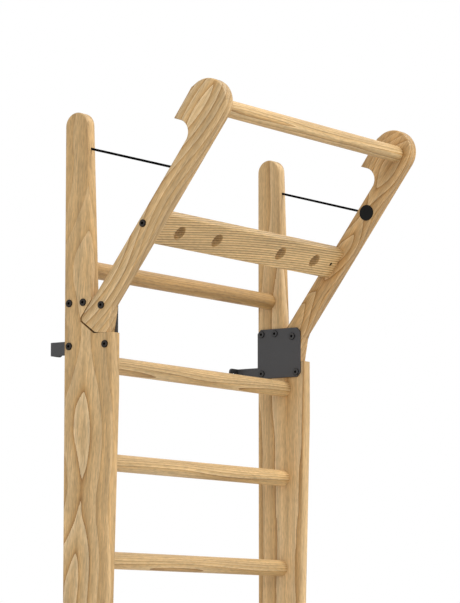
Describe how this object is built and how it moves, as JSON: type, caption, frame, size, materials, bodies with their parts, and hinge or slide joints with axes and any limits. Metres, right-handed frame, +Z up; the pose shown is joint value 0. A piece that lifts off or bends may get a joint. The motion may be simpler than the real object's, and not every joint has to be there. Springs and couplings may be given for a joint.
{
  "type": "wall ladder with pull-up head",
  "caption": "Wooden wall ladder with round rungs and a head that tilts forward on pivots, carrying a pull-up bar and a hold board and held by cords.",
  "frame": {"origin": "centre of the wall holes, on the wall plane", "axes": "+Z up, +Y into the wall, the front faces -Y"},
  "size_m": [0.675, 0.4136, 2.2839],
  "materials": {
    "side_wood": "oiled ash",
    "rung_wood": "oiled ash",
    "board_wood": "oiled ash",
    "dark_plate": "matt powder coat",
    "black_steel": "black oxide",
    "grey_steel": "phosphated",
    "bright_steel": "zinc",
    "cord": "braided",
    "cap": "moulded"
  },
  "bodies": {
    "frame": {"left_post": "side_wood", "right_post": "side_wood", "left_plate": "dark_plate", "right_plate": "dark_plate", "left_plate_screws": "black_steel", "right_plate_screws": "black_steel", "left_plate_sleeves": "grey_steel", "right_plate_sleeves": "grey_steel", "left_pivot_screw": "black_steel", "right_pivot_screw": "black_steel", "left_pivot_sleeve": "grey_steel", "right_pivot_sleeve": "grey_steel", "left_low_bracket": "dark_plate", "right_low_bracket": "dark_plate", "left_low_bracket_screws": "black_steel", "right_low_bracket_screws": "black_steel", "left_low_bracket_sleeves": "grey_steel", "right_low_bracket_sleeves": "grey_steel", "left_cord": "cord", "right_cord": "cord", "left_cord_tail": "cord", "right_cord_tail": "cord", "rung_1": "rung_wood", "rung_2": "rung_wood", "rung_3": "rung_wood", "rung_4": "rung_wood", "rung_5": "rung_wood", "rung_6": "rung_wood", "rung_7": "rung_wood", "rung_8": "rung_wood", "rung_9": "rung_wood", "rung_10": "rung_wood", "top_rung": "rung_wood"},
    "head": {"left_arm": "side_wood", "right_arm": "side_wood", "left_board_bolt": "black_steel", "right_board_bolt": "black_steel", "left_barrel_nut": "black_steel", "right_barrel_nut": "black_steel", "left_dowels": "rung_wood", "right_dowels": "rung_wood", "left_cord_knot": "cord", "right_cord_knot": "cord", "left_cord_cap": "cap", "right_cord_cap": "cap", "left_bar_lock_screw": "bright_steel", "right_bar_lock_screw": "bright_steel", "pull_up_bar": "rung_wood", "hold_board": "board_wood"}
  },
  "joints": [
    {"name": "head_tilt", "type": "hinge", "parent": "frame", "child": "head", "pos_m": [0, -0.135, 0.85413], "axis": [-1, 0, 0], "range_deg": [0, 23.5], "deforming": ["left_cord", "right_cord"]}
  ]
}
